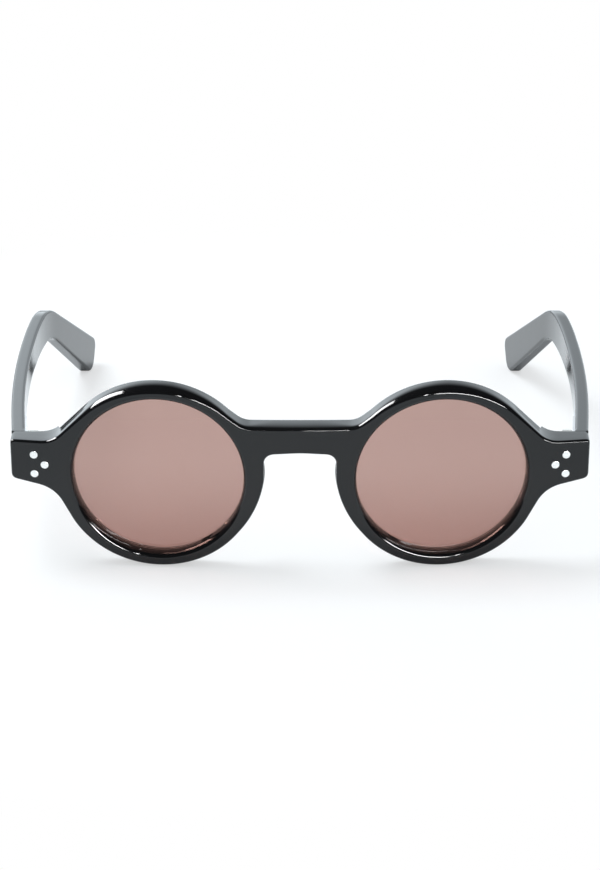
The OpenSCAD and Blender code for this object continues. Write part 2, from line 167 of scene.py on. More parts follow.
def arc(centre, radius, start, end):
    """Points on a circle from one angle to another, in degrees."""
    count = max(3, int(abs(end - start) / ARC_STEP))
    return [on_circle(centre, radius, a) for a in np.radians(np.linspace(start, end, count))]


def rounded_corner(before, at, after, radius):
    """The arc that replaces one corner of an outline."""
    before, at, after = (np.asarray(p, float) for p in (before, at, after))
    if radius == 0:
        return [at]
    u, w = unit(before - at), unit(after - at)
    half = math.acos(float(np.clip(u @ w, -1, 1))) / 2
    centre = at + unit(u + w) * radius / math.sin(half)
    first = at + u * radius / math.tan(half) - centre
    last = at + w * radius / math.tan(half) - centre
    start = math.atan2(first[1], first[0])
    sweep = math.atan2(last[1], last[0]) - start
    sweep = (sweep + math.pi) % (2 * math.pi) - math.pi
    turns = (start + sweep * i / CORNER_STEPS for i in range(CORNER_STEPS + 1))
    return [on_circle(centre, radius, turn) for turn in turns]


def rounded_outline(corners, closed=True):
    """Corners are (point, radius); arcs take the place of those with a radius."""
    points, last = [], len(corners) - 1
    for i, (at, radius) in enumerate(corners):
        inner = closed or 0 < i < last
        before, after = corners[i - 1][0], corners[(i + 1) % len(corners)][0]
        points += rounded_corner(before, at, after, radius if inner else 0)
    return np.array(points)


def evenly(points, spacing, softness=0.0):
    """A closed line with points at even distances, softened by a Gaussian of that width."""
    line = np.vstack([points, points[:1]])
    along = np.concatenate([[0], np.cumsum(np.linalg.norm(np.diff(line, axis=0), axis=1))])
    at = np.linspace(0, along[-1], int(round(along[-1] / spacing)), endpoint=False)
    even = np.column_stack([np.interp(at, along, line[:, k]) for k in (0, 1)])
    # Each pass spreads a point by half a squared step, so this many passes make the Gaussian
    for _ in range(int(round(2 * (softness / spacing) ** 2))):
        even = (np.roll(even, 1, 0) + 2 * even + np.roll(even, -1, 0)) / 4
    return even


trial = evenly(rounded_outline([((0, 0), 1), ((4, 0), 1), ((4, 4), 1), ((0, 4), 1)]), 0.5)
print("a rounded square of 4 mm:", len(trial), "even points")

# %% [markdown]
# The face of the front is one sheet with two holes in it. It could be a single
# polygon, but one with a thousand corners shades badly on a curved face. A
# staggered grid of points between the loops, joined by Blender's Delaunay
# triangulation, gives small even triangles instead.

# %% Filling an outline
EDGE_MARGIN = 0.6                      # least distance from grid to loop, in grid spacings
SAME_POINT = 1e-9


def inside(points, loop):
    """Which points lie within a closed loop."""
    a, b = loop, np.roll(loop, -1, 0)
    py, px = points[:, 1, None], points[:, 0, None]
    spans = (a[:, 1] > py) != (b[:, 1] > py)
    rise = np.where(b[:, 1] == a[:, 1], 1e-12, b[:, 1] - a[:, 1])
    cross = a[:, 0] + (py - a[:, 1]) * (b[:, 0] - a[:, 0]) / rise
    return (spans & (px < cross)).sum(1) % 2 == 1


def grid_between(loops, spacing):
    """Staggered points inside the first loop and outside the others."""
    low, high = loops[0].min(0), loops[0].max(0)
    lines = [np.arange(low[k], high[k], spacing) for k in (0, 1)]
    grid = np.stack(np.meshgrid(*lines), -1).reshape(-1, 2)
    grid[:, 0] += (np.round((grid[:, 1] - low[1]) / spacing) % 2) * spacing / 2
    keep = inside(grid, loops[0])
    for hole in loops[1:]:
        keep &= ~inside(grid, hole)
    grid, edge = grid[keep], np.vstack(loops)
    near = np.array([np.min(np.sum((edge - g) ** 2, 1)) for g in grid])
    return grid[near > (EDGE_MARGIN * spacing) ** 2]


def flat_fill(loops, spacing):
    """Triangles between an outer loop and its holes: (all points, triangles)."""
    points = np.vstack([*loops, grid_between(loops, spacing)])
    sides, owner, first = [], np.full(len(points), -1), 0
    for k, loop in enumerate(loops):
        ids = np.arange(first, first + len(loop))
        owner[ids] = k
        sides += list(zip(ids.tolist(), np.roll(ids, -1).tolist()))
        first += len(loop)
    found = delaunay_2d_cdt([Vector(p) for p in points], sides, [], 1, SAME_POINT)
    source = [ids[0] for ids in found[3]]
    triangles = np.array([[source[v] for v in face] for face in found[2]])
    # A triangle with all its corners on the loop of one hole lies in that hole
    of = owner[triangles]
    in_hole = (of[:, 0] > 0) & (of[:, 0] == of[:, 1]) & (of[:, 0] == of[:, 2])
    return points, triangles[~in_hole]


print("the rounded square filled:", len(flat_fill([trial], 1.0)[1]), "triangles")

# %% [markdown]
# A filed edge is a quarter of an ellipse, since the brow of a front is deeper than
# it is wide, and both of its sizes change along the outline. Blender's bevel is
# the easy way, but it is as deep as it is wide, so the rounding is made of rings
# instead. They run over the edge in even steps, so that the highlights flow round
# them, and one more narrow ring keeps the shading of the rounding off the flat part.

# %% Rounded edges
EDGE_STEPS = 10
SUPPORT = 0.15                         # width of the narrow ring on the flat part


def inward(outline):
    """Unit normals that point into a closed outline."""
    t = np.roll(outline, -1, 0) - np.roll(outline, 1, 0)
    t /= np.linalg.norm(t, axis=1)[:, None]
    x, y = outline.T
    turns_left = np.sum(x * np.roll(y, -1) - np.roll(x, -1) * y) > 0
    return np.column_stack([-t[:, 1], t[:, 0]]) * (1 if turns_left else -1)


def edge_rings(outline, normals, edge, depth_at, sign):
    """Rings of (x, y, depth) from flat face to wall; edge is (width, depth), sign +1 in front."""
    width, deep = (value * np.ones(len(outline)) for value in edge)
    rings = []
    for step in range(-1, EDGE_STEPS + 1):
        turn = math.radians(90 * max(step, 0) / EDGE_STEPS)
        extra = SUPPORT if step < 0 else 0
        flat = outline + normals * (width * (1 - math.sin(turn)) + extra)[:, None]
        depth = depth_at(flat) + sign * deep * (1 - math.cos(turn))
        rings.append(np.column_stack([flat, depth]))
    return rings


def join_rings(rings, first):
    """Quads between neighbouring rings whose points are numbered from first."""
    faces, count = [], len(rings[0])
    for k in range(len(rings) - 1):
        a, b = first + k * count, first + (k + 1) * count
        for i in range(count):
            j = (i + 1) % count
            faces.append((a + i, a + j, b + j, b + i))
    return faces


print("a rounding has", EDGE_STEPS + 2, "rings, and its narrow ring is", SUPPORT, "mm wide")

# %% [markdown]
# A rounded plate is the form behind both the front and the temples: two faces a
# small distance apart, a wall between them, and a rounding on each edge. The two
# faces are filled flat and then take their depth from a function, which bends them.

# %% The rounded plate
WALL_STEPS = 3


def rounded_plate(outline, front_edge, back_edge, front_at, back_at, spacing, holes=()):
    """Points (x, y, depth) and faces of a plate. A hole is a list of rings, front to back."""
    normals = inward(outline)
    front = edge_rings(outline, normals, front_edge, front_at, 1)
    back = edge_rings(outline, normals, back_edge, back_at, -1)[::-1]
    down = back[0] - front[-1]
    wall = [front[-1] + down * k / WALL_STEPS for k in range(1, WALL_STEPS)]
    loops = [front + wall + back, *holes]
    points, faces, starts = [], [], []
    for rings in loops:
        starts.append(sum(len(p) for p in points))
        faces += join_rings(rings, starts[-1])
        points += rings
    for end, depth_at in ((0, front_at), (-1, back_at)):
        flat, triangles = flat_fill([rings[end][:, :2] for rings in loops], spacing)
        # The filled sheet starts with the points of the rings, which exist already
        ids = []
        for rings, start in zip(loops, starts):
            shift = 0 if end == 0 else sum(len(r) for r in rings[:-1])
            ids += list(range(start + shift, start + shift + len(rings[end])))
        fresh = flat[len(ids):]
        base = sum(len(p) for p in points)
        ids += list(range(base, base + len(fresh)))
        points.append(np.column_stack([fresh, depth_at(fresh)]))
        faces += [tuple(ids[v] for v in t) for t in triangles]
    return np.vstack(points), faces


print("a plate's wall has", WALL_STEPS, "bands between its two roundings")

# %% [markdown]
# Points and faces become an object that rides on one moving body and stands for
# the CAD nodes that it replaces. All edges could be smooth, but then the corner of
# a temple's end would look swollen. Edges sharper than 40 degrees stay hard.

# %% From points to a piece
SHARP_ANGLE = math.radians(40)


def piece(name, points, faces, material, body, nodes):
    """A finished piece in metres that rides on a body and stands for CAD nodes."""
    mesh = bpy.data.meshes.new(name)
    mesh.from_pydata([tuple(p) for p in points], [], faces)
    mesh.validate()
    made = bpy.data.objects.new(name, mesh)
    bpy.context.scene.collection.objects.link(made)
    bpy.context.view_layer.objects.active = made
    made.select_set(True)
    bpy.ops.object.mode_set(mode="EDIT")
    bpy.ops.mesh.select_all(action="SELECT")
    bpy.ops.mesh.normals_make_consistent(inside=False)
    bpy.ops.object.mode_set(mode="OBJECT")
    made.select_set(False)
    mesh.shade_smooth()
    mesh.set_sharp_from_angle(angle=SHARP_ANGLE)
    mesh.materials.append(material)
    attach(made, body)
    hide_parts(*nodes)
    print(name, len(mesh.vertices), "points")


# %% [markdown]
# Every finish below is a small network of nodes: a pattern in the object's own
# space, stretched or mixed, that feeds a shader. It could be clicked together in
# the shader editor. In a script, a few helpers that make one node each and hand on
# its output keep such a network readable.

# %% Node helpers
def node(tree, kind, links=(), **settings):
    """A new node; links are (input, source socket or value)."""
    made = tree.nodes.new(kind)
    for key, value in settings.items():
        setattr(made, key, value)
    for name, value in links:
        if isinstance(value, bpy.types.NodeSocket):
            tree.links.new(value, made.inputs[name])
        else:
            made.inputs[name].default_value = value
    return made


def calculated(tree, operation, *values, **settings):
    """One step of arithmetic on masks."""
    made = node(tree, "ShaderNodeMath", enumerate(values), operation=operation, **settings)
    return made.outputs["Value"]


def ramp(tree, value, start, end, low=0.0, high=1.0, kind="LINEAR"):
    """A mask that goes from low to high while the value goes from start to end."""
    return node(tree, "ShaderNodeMapRange", [
        ("Value", value), ("From Min", start), ("From Max", end), ("To Min", low), ("To Max", high),
    ], interpolation_type=kind).outputs["Result"]


def mixed(tree, factor, a, b, kind="RGBA"):
    """Two colours, or two numbers with kind FLOAT, mixed by a mask."""
    links = [("Factor", factor), ("A", a), ("B", b)]
    return node(tree, "ShaderNodeMix", links, data_type=kind).outputs["Result"]


def object_space(tree):
    """The place on the object, in metres."""
    return node(tree, "ShaderNodeTexCoord").outputs["Object"]


def noise(tree, place, scale, detail):
    """A soft random pattern."""
    links = [("Vector", place), ("Scale", scale), ("Detail", detail)]
    return node(tree, "ShaderNodeTexNoise", links).outputs["Fac"]


print("six node helpers")

# %% [markdown]
# Black acetate is nearly black inside and gets all its life from the polish. A
# mirror finish would look like glass, so the polish group gives a roughness that
# changes slowly, and a faint waviness that a buffing wheel leaves. The same group
# serves the front, the temples and the pads, each with its own values.

# %% Polish group
HAZE_SCALE, HAZE_START, HAZE_END = 90.0, 0.35, 0.75
WAVE_SCALE = 220.0
WAVE_DEPTH = 0.0004                    # metres, like all sizes that a shader takes


def new_finish(name, inputs):
    """A shader node group with named inputs that puts out a roughness and a normal."""
    group = bpy.data.node_groups.new(name, "ShaderNodeTree")
    sockets = group.interface
    for key, value in inputs.items():
        made = sockets.new_socket(name=key, in_out="INPUT", socket_type="NodeSocketFloat")
        made.default_value = value
    sockets.new_socket(name="Roughness", in_out="OUTPUT", socket_type="NodeSocketFloat")
    sockets.new_socket(name="Normal", in_out="OUTPUT", socket_type="NodeSocketVector")
    return group, node(group, "NodeGroupInput").outputs


def close_finish(group, roughness, height, strength, distance):
    """Ends a finish group with its roughness and a bump of the given height."""
    bump = node(group, "ShaderNodeBump", [
        ("Height", height), ("Strength", strength), ("Distance", distance),
    ])
    links = [("Roughness", roughness), ("Normal", bump.outputs["Normal"])]
    node(group, "NodeGroupOutput", links)
    print(group.name, "group:", len(group.nodes), "nodes")
    return group


def build_polish():
    """Haze in clouds, and low waves."""
    group, given = new_finish("polish", {"Roughness": 0.06, "Haze": 0.04, "Waviness": 0.02})
    place = object_space(group)
    cloud = ramp(group, noise(group, place, HAZE_SCALE, 4.0), HAZE_START, HAZE_END)
    haze = calculated(group, "MULTIPLY_ADD", cloud, given["Haze"], given["Roughness"])
    wave = noise(group, place, WAVE_SCALE, 1.0)
    return close_finish(group, haze, wave, given["Waviness"], WAVE_DEPTH)


polish = build_polish()

# %% [markdown]
# The black itself is not one flat colour: seen close, it drifts between a deeper
# and a lighter black. An image could hold that, but two tones mixed by a noise
# have no seams. The function takes the finish group as a value, because the metal
# parts are made in the same way further down.

# %% Black acetate
TONE_DETAIL = 3.0
ACETATE_TONES = ((0.0030, 0.0032, 0.0038, 1), (0.0056, 0.0056, 0.0062, 1))
ACETATE_TONE_SCALE = 60.0
ACETATE_IOR = 1.46


def new_material(name, values):
    """A node material with plain values set on its Principled BSDF."""
    material = bpy.data.materials.new(name)
    material.use_nodes = True
    shader = material.node_tree.nodes["Principled BSDF"]
    for key, value in values.items():
        shader.inputs[key].default_value = value
    return material, material.node_tree, shader


def two_tone(name, values, tones, tone_scale, finish, finish_values):
    """A material that drifts between two tones and has a finish group of its own values."""
    material, tree, shader = new_material(name, values)
    drift = noise(tree, object_space(tree), tone_scale, TONE_DETAIL)
    surface = node(tree, "ShaderNodeGroup", finish_values.items(), node_tree=finish)
    tree.links.new(mixed(tree, drift, *tones), shader.inputs["Base Color"])
    tree.links.new(surface.outputs["Roughness"], shader.inputs["Roughness"])
    tree.links.new(surface.outputs["Normal"], shader.inputs["Normal"])
    print(name, "with", finish.name)
    return material


def acetate(name, roughness, haze, waviness):
    """Black acetate with its own degree of polish."""
    finish_values = {"Roughness": roughness, "Haze": haze, "Waviness": waviness}
    return two_tone(
        name, {"IOR": ACETATE_IOR}, ACETATE_TONES, ACETATE_TONE_SCALE, polish, finish_values,
    )


front_black = acetate("front_acetate", 0.05, 0.05, 0.02)
temple_black = acetate("temple_acetate", 0.05, 0.05, 0.03)
pad_black = acetate("pad_acetate", 0.09, 0.06, 0.03)

# %% [markdown]
# The outline of the front is half a line from the middle of the bridge round one
# lens and back under the bridge, mirrored for the other side. It could be traced
# point by point, but round stretches as arcs about the lens centre stay round. The
# softening melts the places where an arc meets a straight edge, as tumbling does.

# %% Outline of the front
OUTLINE_STEP = 0.3
OUTLINE_SOFTNESS = 0.45
SHOULDER_ANGLE, END_ANGLE = 135, 44        # the brow's arc round the lens centre, in degrees
END_LOW_ANGLE, NOSE_ANGLE = -31, -142      # the chin's arc
SHOULDER_RUN, SHOULDER_R = 3.7, 5          # from the brow to the bridge's straight top
SLOPE_RUN, SLOPE_R = 8, 6.5                # from the brow to the end piece
END_TOP_R, END_LOW_R = 0.6, 1.2
END_RUN, END_FALL, END_RUN_R = 10.4, 2.2, 8
KEY_HALF, KEY_H = 8.7, 7.5                 # half width and height of the keyhole
KEY_TOP_R, KEY_SIDE_R = 2.4, 8
NOSE_FLARE, NOSE_DROP, NOSE_R = 1.8, 8.8, 28
ARCH, ARCH_R = 0.5, 30                     # the bridge's lower edge rises to the middle
lens_centre = np.array([LENS_X, LENS_Z])


def front_outline():
    """The whole outline as an even closed line of (x, z)."""
    over_the_top = arc(lens_centre, RIM_R, SHOULDER_ANGLE, END_ANGLE)
    round_the_chin = arc(lens_centre, RIM_R, END_LOW_ANGLE, NOSE_ANGLE)
    half = [
        ((over_the_top[0][0] - SHOULDER_RUN, BRIDGE_TOP), SHOULDER_R),
        *((point, 0) for point in over_the_top),
        ((over_the_top[-1][0] + SLOPE_RUN, END_TOP), SLOPE_R),
        ((HALF_W, END_TOP), END_TOP_R),
        ((HALF_W, END_LOW), END_LOW_R),
        ((HALF_W - END_RUN, END_LOW - END_FALL), END_RUN_R),
        *((point, 0) for point in round_the_chin),
        ((KEY_HALF + NOSE_FLARE, LENS_Z - NOSE_DROP), NOSE_R),
        ((KEY_HALF, BRIDGE_LOW - KEY_H), KEY_SIDE_R),
        ((KEY_HALF, BRIDGE_LOW), KEY_TOP_R),
    ]
    other = [((-p[0], p[1]), r) for p, r in reversed(half)]
    corners = [((0, BRIDGE_TOP), 0), *half, ((0, BRIDGE_LOW + ARCH), ARCH_R), *other]
    return evenly(rounded_outline(corners), OUTLINE_STEP, OUTLINE_SOFTNESS)


front_line = front_outline()
print("front outline:", len(front_line), "points")

# %% [markdown]
# The edge isn't rounded alike all round. Over each lens the brow is filed to a
# wide slope, which shows as a dark crescent, and it narrows to the sides. The chin
# and the bridge are softer than the sides, too. One radius for the whole front
# would lose that, so each stretch has its own width and depth of rounding, and
# they blend with the angle round the lens.

# %% How round the edges of the front are
SIDE_EDGE = np.array([0.42, 0.7])      # width across the face, depth into the front
BROW_EDGE = np.array([1.5, 4.5])
CHIN_EDGE = np.array([1.15, 2.2])
BRIDGE_EDGE = np.array([0.6, 4.4])
BROW_SPREAD, CHIN_SPREAD = 40.0, 45.0  # degrees at which the brow and the chin have mostly faded
BRIDGE_SPREAD = 11.0
BACK_EDGE = np.array([0.3, 0.3])
BLOCK_EDGE = np.array([0.08, 0.08])    # crisp behind the end pieces, where the temples close
BLOCK_X = LENS_X + RIM_R - 0.4         # the end pieces start here
CRISP_RUN = 2.0


def front_edge(points):
    """Width and depth of the front's rounded edge at each point of the outline."""
    x, z = np.abs(points[:, 0]), points[:, 1]
    from_top = np.degrees(np.arctan2(np.abs(x - LENS_X), z - LENS_Z))
    brow = np.exp(-np.square(from_top / BROW_SPREAD))
    chin = np.exp(-np.square((180 - from_top) / CHIN_SPREAD))
    bridge = np.exp(-np.power(x / BRIDGE_SPREAD, 4)) * (z > (BRIDGE_TOP + BRIDGE_LOW) / 2)
    stretches = ((brow, BROW_EDGE), (chin, CHIN_EDGE), (bridge, BRIDGE_EDGE))
    return [
        SIDE_EDGE[k] + sum(share * (edge[k] - SIDE_EDGE[k]) for share, edge in stretches)
        for k in (0, 1)
    ]


def back_edge(points):
    """Soft behind the rims and crisp behind the end pieces."""
    crisp = np.clip((np.abs(points[:, 0]) - BLOCK_X) / CRISP_RUN, 0, 1)
    return [BACK_EDGE[k] + (BLOCK_EDGE[k] - BACK_EDGE[k]) * crisp for k in (0, 1)]


widest = max(front_edge(front_line)[0])
print("the brow's rounding is", round(float(widest), 2), "mm wide at most")

# %% [markdown]
# Each lens sits in a round opening with a soft lip in front, a straight wall, and
# a V-shaped groove that holds the lens's bevel. A boolean cut could make it, but
# rings of the same count all the way back give clean quads and a smooth highlight
# on the lip.

# %% The lens openings
OPENING_STEPS = 240
LIP = (1.25, 1.9)                      # width and depth of the lip's rounding
BACK_LIP = 0.4
LENS_TURN = math.asin(LENS_X / FACE_R)
LENS_INSET = 2.6                       # the lens edge behind the front of the rim
LENS_T = 1.6
BEVEL = 0.6


def full_turn(steps):
    """Even angles all round, in radians."""
    return np.radians(np.arange(steps) * 360 / steps)


def lens_point(u, v, w, side):
    """Lens frame (across, up, back) to upright front coordinates."""
    x = LENS_X + u * math.cos(LENS_TURN) - w * math.sin(LENS_TURN)
    y = float(sag(LENS_X)) + u * math.sin(LENS_TURN) + w * math.cos(LENS_TURN)
    return np.column_stack([side * x, LENS_Z + v, y])


def opening_rings(side):
    """Rings of one lens opening: lip, wall, groove, wall and a small rounding behind."""
    angles = full_turn(OPENING_STEPS)

    def ring(radius, depth, behind=False):
        u, v = radius * np.cos(angles), radius * np.sin(angles)
        surface = FACE_R - np.sqrt((FACE_R - (FRONT_T if behind else 0)) ** 2 - u ** 2)
        return lens_point(u, v, surface + depth, side)

    def wall(radius, w):
        flat = np.full(OPENING_STEPS, w)
        return lens_point(radius * np.cos(angles), radius * np.sin(angles), flat, side)

    turns = np.radians(np.linspace(0, 90, EDGE_STEPS + 1))
    rounding = [(1 - math.sin(t), 1 - math.cos(t)) for t in turns]
    middle = LENS_INSET + LENS_T / 2
    groove = [(OPENING_R, middle - BEVEL), (OPENING_R + BEVEL, middle), (OPENING_R, middle + BEVEL)]
    rings = [ring(OPENING_R + LIP[0] + SUPPORT, 0)]
    rings += [ring(OPENING_R + LIP[0] * out, LIP[1] * deep) for out, deep in rounding]
    rings += [wall(radius, w) for radius, w in groove]
    rings += [ring(OPENING_R + BACK_LIP * out, -BACK_LIP * deep, True) for out, deep in rounding[::-1]]
    rings += [ring(OPENING_R + BACK_LIP + SUPPORT, 0, True)]
    return rings


openings = [opening_rings(side) for side, name in SIDES]
print("each opening:", len(openings[0]), "rings")

# %% [markdown]
# Now the front can be made as one plate. It could be cut from a bent block, but
# then its grid would not follow the outline. Front and back of the rims follow the
# curve round the wearer's face, and the backs of the end pieces are flat, because
# the temples close against them. The plate is stood on the table last.

# %% The front
BLOCK_STEP = 0.35                      # width of the step from the curved to the flat back
FRONT_GRID = 1.6


def front_face(points):
    """Depth of the face of the front."""
    return sag(points[:, 0])


def front_back(points):
    """Depth of the curved back of the rims, and of the flat back of the end pieces."""
    x, z = np.abs(points[:, 0]), points[:, 1]
    curved = FACE_R - np.sqrt((FACE_R - FRONT_T) ** 2 - x ** 2)
    flat = (BACK_Y + z * math.sin(LEAN)) / math.cos(LEAN)
    mix = np.clip((x - BLOCK_X) / BLOCK_STEP, 0, 1)
    return curved + (flat - curved) * mix


def upright(points):
    """Plate coordinates (x, z, depth) to upright front coordinates (x, y, z)."""
    return points[:, [0, 2, 1]]


front_points, front_faces = rounded_plate(
    front_line, front_edge(front_line), back_edge(front_line), front_face, front_back,
    FRONT_GRID, openings,
)
piece(
    "acetate_front", standing(upright(front_points)), front_faces,
    front_black, "front", ["front_frame"],
)

# %% [markdown]
# The lenses are sun lenses of tinted plastic. A coloured sheet of paint would hide
# what lies behind, so the shader transmits light, and the tint colours what comes
# through it. On top of the tint, the lower part of the lens is painted a little darker,
# which is painted shade, and its lighter top is a painted reflection of the bright room.

# %% Lens material
# The lower colour is the tint darkened by painted shade; the upper one is lightened by a painted
# reflection
LENS_TOP = (0.46, 0.294, 0.256, 1)
LENS_LOW_SHADED = (0.375, 0.214, 0.183, 1)
FADE_LOW_Z, FADE_TOP_Z = LENS_Z - OPENING_R, LENS_Z + 6


def tinted_lens():
    """Clear plastic with a tint, darkened towards the bottom of the lens by painted shade."""
    plastic = {"Transmission Weight": 1.0, "Roughness": 0.0, "IOR": 1.5}
    material, tree, shader = new_material("tinted_lens", plastic)
    height = node(tree, "ShaderNodeSeparateXYZ", [("Vector", object_space(tree))]).outputs["Z"]
    # This fade paints shade onto the lower part of the lens
    fade = ramp(tree, height, FADE_LOW_Z * MM, FADE_TOP_Z * MM, kind="SMOOTHSTEP")
    tree.links.new(mixed(tree, fade, LENS_LOW_SHADED, LENS_TOP), shader.inputs["Base Color"])
    return material


lens_tint_shaded = tinted_lens()
print("tint fades from z", round(FADE_LOW_Z, 1), "to", round(FADE_TOP_Z, 1), "mm")

# %% [markdown]
# A sun lens is 1.6 mm thick and gently domed. It could be a flat disc, but the
# dome is what makes reflections slide over it. A profile turned about its axis
# gives the dome on both sides and the bevel that sits in the groove. Rivet heads
# are turned later with the same helper.

# %% The lenses
LENS_CURVE_R = 130.0
SET_GAP = 0.03                         # play of the lens in its rim
LENS_STEPS = 192
LENS_RINGS = 12


def capped(rings, ends):
    """A closed form from a stack of equal rings and the two points that close it."""
    count, last = len(rings[0]), len(rings[0]) * (len(rings) - 1)
    faces, tip = join_rings(rings, 0), last + count
    for i in range(count):
        j = (i + 1) % count
        faces += [(j, i, tip), (last + i, last + j, tip + 1)]
    return np.vstack([*rings, ends]), faces


def lathe(profile, steps):
    """A turned form; profile is (radius, depth) with its first and last point on the axis."""
    angles = full_turn(steps)
    ring = np.column_stack([np.cos(angles), np.sin(angles)])
    rings = [np.column_stack([ring * r, np.full(steps, d)]) for r, d in profile if r > 0]
    return capped(rings, [(0, 0, profile[0][1]), (0, 0, profile[-1][1])])


def lens_profile():
    """Half the section of a lens, from the front's middle over the bevel to the back's."""
    edge, ridge = OPENING_R - SET_GAP, BEVEL - SET_GAP
    radii = np.linspace(0, edge, LENS_RINGS)
    height = np.sqrt(LENS_CURVE_R ** 2 - radii ** 2)
    dome = height[-1] - height
    front = [(r, LENS_INSET + d) for r, d in zip(radii, dome)]
    back = [(r, d + LENS_T) for r, d in reversed(front)]
    middle = LENS_INSET + LENS_T / 2
    return [*front, (edge, middle - ridge), (edge + ridge, middle), (edge, middle + ridge), *back]


for side, name in SIDES:
    points, faces = lathe(lens_profile(), LENS_STEPS)
    u, v, w = points.T
    placed = standing(upright(lens_point(u, v, w, side)))
    piece(f"sun_lens_{name}", placed, faces, lens_tint_shaded, "front", [f"lens_{name}"])

# %% [markdown]
# The nose pads are slender fins of the same acetate, glued behind the rims and
# polished into them. A stretched ball would look like a bead. Here a few stations
# down the rim give the middle line, and sections like half an ellipse are stacked
# along it, so the fin follows the nose side and never shows inside the lens.

# %% Nose pads
PAD_Z = np.array([-13.5, -10.0, -5.0, -1.0, 3.0, 6.5])        # above the lens centre
PAD_X = np.array([15.7, 13.4, 11.4, 10.5, 10.25, 10.5])       # middle of the fin
PAD_HALF_W = 1.95
PAD_FULLNESS = 0.8                     # below 1, the fin keeps its width towards its ends
PAD_REACH, PAD_BURIED = 4.4, 0.5       # depth behind and in front of the fin's root
PAD_ROOT = FRONT_T - 0.8               # just inside the back of the rims
PAD_RINGS = 44
PAD_STEPS = 40


def pad_points(side):
    """Sections stacked along the nose side; the front of each is inside the rim."""
    share = -np.cos(np.linspace(0, math.pi, PAD_RINGS))
    heights = PAD_Z[0] + (PAD_Z[-1] - PAD_Z[0]) * (share + 1) / 2
    middles = np.polyval(np.polyfit(PAD_Z, PAD_X, 3), heights)
    angles = full_turn(PAD_STEPS)
    reach = np.where(np.sin(angles) > 0, PAD_REACH, PAD_BURIED)
    rings = []
    for s, x, z in list(zip(share, middles, heights))[1:-1]:
        full = math.sqrt(1 - s * s)
        rings.append(np.column_stack([
            x + PAD_HALF_W * full ** PAD_FULLNESS * np.cos(angles),
            PAD_ROOT + reach * full * np.sin(angles),
            np.full(PAD_STEPS, LENS_Z + z),
        ]))
    points, faces = capped(rings, [(middles[k], PAD_ROOT, LENS_Z + heights[k]) for k in (0, -1)])
    points[:, 0] *= side
    return points, faces


for side, name in SIDES:
    points, faces = pad_points(side)
    piece(
        f"pad_{name}", standing(points), faces, pad_black,
        "front", [f"nose_pad_{name}"],
    )

# %% [markdown]
# A temple is cut from a strip, and its ear end is heated and bent down. From above
# it bows out a little and tucks in behind the ear. It could be modelled straight
# and bent with a modifier, but the two bends overlap. Two outlines describe it
# instead: one seen from above and one seen from the side.

# %% Outlines of the temples
TEMPLE_T = 3.3
SEAT_GAP = 0.1
BUTT_Y = BACK_Y + SEAT_GAP             # the temple's front end
BEND_L = 86.5                          # from there to the bend
BOW = 3.6
BOW_AT, TUCK_AT, WAIST_AT = 0.43, 0.92, 0.53   # places along that length
TUCK_SHARE = 0.6                       # how much of the bow is left where the tuck starts
BOW_REACH, TUCK_REACH = 0.62, 0.3      # shares of the line between them that the two arcs take up
TUCK, DROP, TAPER = (math.radians(a) for a in (10, 28.7, 3.8))
BEND_RISE, BEND_H, BEND_LAG = 1.2, 9.0, 2.1
WAIST_LIFT = 1.6
BEND_TOP_R, BEND_LOW_R, WAIST_R = 30, 24, 200
TIP_LOW_R, TIP_TOP_R = 4.0, 3.0
FAR = 120.0                            # the tuck's line runs on past the tip


def seat_z(z):
    """Height on the table of a point on the back of the end piece."""
    return z / math.cos(LEAN) + BACK_Y * math.tan(LEAN) + LIFT


BUTT_TOP, BUTT_LOW = seat_z(END_TOP), seat_z(END_LOW)


def temple_plan():
    """The outer face seen from above, as (x, y) points from the hinge back."""
    wide_y, tuck_y = (BUTT_Y + BEND_L * share for share in (BOW_AT, TUCK_AT))
    tuck_x = HALF_W + BOW * TUCK_SHARE
    behind = (tuck_x - FAR / 2 * math.tan(TUCK), tuck_y + FAR / 2)
    corners = np.array([(HALF_W, BUTT_Y), (HALF_W + BOW, wide_y), (tuck_x, tuck_y), behind])

    def radius(i, share):
        half = math.acos(unit(corners[i - 1] - corners[i]) @ unit(corners[i + 1] - corners[i])) / 2
        return (tuck_y - wide_y) * share * math.tan(half)

    radii = [0, radius(1, BOW_REACH), radius(2, TUCK_REACH), 0]
    return rounded_outline(list(zip(corners, radii)), closed=False)


def temple_side():
    """The outline seen from the side, as (y, z) corners with their radii."""
    bend_top = np.array([BUTT_Y + BEND_L, BUTT_TOP + BEND_RISE])
    bend_low = (bend_top[0] + BEND_LAG, bend_top[1] - BEND_H)
    waist = (BUTT_Y + BEND_L * WAIST_AT, bend_low[1] + WAIST_LIFT)
    low = DROP + TAPER
    # The tip's lower corner is rounded, and this height makes its arc touch the table
    tip_low_z = -TIP_LOW_R * ((math.cos(DROP) + math.sin(low)) / math.cos(TAPER) - 1)
    tip_low = np.array([bend_low[0] + (bend_low[1] - tip_low_z) / math.tan(low), tip_low_z])
    up = np.array([math.sin(DROP), math.cos(DROP)])
    tip_top = tip_low + (bend_top - tip_low) @ up * up
    return [
        ((BUTT_Y, BUTT_LOW), 0), ((BUTT_Y, BUTT_TOP), 0), (bend_top, BEND_TOP_R), (tip_top, TIP_TOP_R),
        (tip_low, TIP_LOW_R), (bend_low, BEND_LOW_R), (waist, WAIST_R),
    ]


plan = temple_plan()
print("temple plan:", len(plan), "points, widest at x", round(plan[:, 0].max(), 2))

# %% [markdown]
# The side outline makes a flat rounded plate, and each of its points is then laid
# onto the curve seen from above. Its front end stays crisp, because it closes
# against the end piece with hardly a line between them, and all other edges are
# soft.

# %% The temples
TEMPLE_STEP, TEMPLE_SOFTNESS = 0.45, 0.3
TEMPLE_GRID = 1.8
TEMPLE_EDGE_R, BUTT_EDGE_R = 0.7, 0.05
BUTT_RUN = 1.5                         # length over which the edge grows soft

